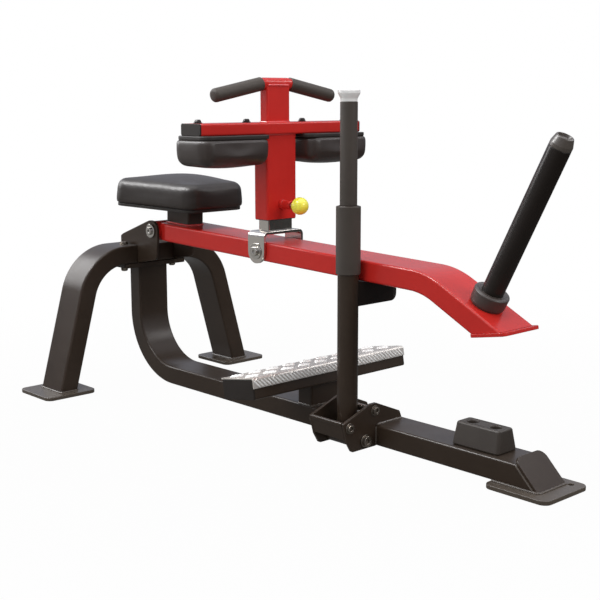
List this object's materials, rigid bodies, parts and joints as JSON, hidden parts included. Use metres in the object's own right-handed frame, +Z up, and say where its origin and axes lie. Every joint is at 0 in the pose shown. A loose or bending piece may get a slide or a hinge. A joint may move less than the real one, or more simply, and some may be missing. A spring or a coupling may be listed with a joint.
{
  "type": "seated calf raise machine",
  "caption": "Plate-loaded seated calf raise machine with a red lever arm, black pads, a tilted foot platform and a hand lever with a catch.",
  "frame": {"origin": "on the floor, under the middle of the machine's length and width", "axes": "+X from the rear arch to the front foot, the way the user faces; +Y to the user's left; +Z up"},
  "size_m": [1.596, 0.802, 0.888],
  "materials": {
    "frame_paint": "semi-gloss powder coat",
    "arm_paint": "gloss",
    "black_steel": "satin black",
    "bare_steel": "zinc plated",
    "chrome": "polished",
    "tread_metal": "patterned tread plate",
    "bronze": "plain bearing",
    "black_plastic": "matte",
    "yellow_plastic": "gloss",
    "bumper_rubber": "matte",
    "grip_rubber": "matte",
    "vinyl": "soft sheen vinyl"
  },
  "bodies": {
    "frame": {"rear_foot_plate_left": "frame_paint", "rear_foot_plate_right": "frame_paint", "front_foot_plate": "frame_paint", "main_beam": "frame_paint", "beam_end_plate": "frame_paint", "rear_arch": "frame_paint", "riser_flange": "frame_paint", "flange_bolt_left": "black_steel", "flange_bolt_right": "black_steel", "pivot_plate_left": "frame_paint", "pivot_plate_right": "frame_paint", "pivot_shaft": "bare_steel", "platform_pillar": "frame_paint", "platform_tube": "frame_paint", "tread_plate": "tread_metal", "platform_cap_left": "black_plastic", "platform_cap_right": "black_plastic", "bumper_block": "bumper_rubber", "lever_plate_front": "frame_paint", "lever_plate_rear": "frame_paint", "lever_side_plate": "frame_paint", "lever_pivot_bolt": "black_steel", "lever_stop_outer": "black_steel", "lever_stop_inner": "black_steel"},
    "arm": {"arm_tube": "arm_paint", "pivot_bushing_left": "bronze", "pivot_bushing_right": "bronze", "arm_end_plate": "arm_paint", "weight_horn": "black_steel", "horn_collar": "bumper_rubber", "horn_cap": "black_plastic", "seat_post": "frame_paint", "seat_plate": "frame_paint", "seat_cushion": "vinyl", "saddle_bolt": "bare_steel"},
    "knee_post": {"saddle_bracket": "chrome", "inner_post": "chrome"},
    "carriage": {"outer_sleeve": "arm_paint", "sleeve_liner": "black_plastic", "crossbar": "arm_paint", "crossbar_cap_left": "black_plastic", "crossbar_cap_right": "black_plastic", "pad_board_left": "black_plastic", "pad_board_right": "black_plastic", "knee_pad_left": "vinyl", "knee_pad_right": "vinyl", "upper_post": "arm_paint", "handlebar": "arm_paint", "grip_left": "grip_rubber", "grip_right": "grip_rubber", "plunger_housing": "arm_paint"},
    "pin": {"plunger_pin": "bare_steel", "ball_knob": "yellow_plastic"},
    "lever": {"lever_tube": "frame_paint", "guard_sleeve": "grip_rubber", "lever_grip": "grip_rubber", "lever_cap": "chrome", "catch_bar": "black_steel", "catch_cap": "black_plastic"}
  },
  "joints": [
    {"name": "arm_pivot", "type": "hinge", "parent": "frame", "child": "arm", "pos_m": [-0.594, 0, 0.458], "axis": [0, -1, 0], "range_deg": [0, 15]},
    {"name": "saddle_tilt", "type": "hinge", "parent": "arm", "child": "knee_post", "pos_m": [-0.12992, 0, 0.44382], "axis": [0, 1, 0], "range_deg": [-20, 20]},
    {"name": "knee_pad_height", "type": "slide", "parent": "knee_post", "child": "carriage", "axis": [0, 0, 1], "range_m": [-0.025, 0.125]},
    {"name": "pull_pin", "type": "slide", "parent": "carriage", "child": "pin", "axis": [1, 0, 0], "range_m": [0, 0.01], "stiffness_N_per_m": 600, "springref_m": -0.01},
    {"name": "lever_swing", "type": "hinge", "parent": "frame", "child": "lever", "pos_m": [0.228, -0.09, 0.031], "axis": [1, 0, 0], "range_deg": [0, 21.5]}
  ]
}
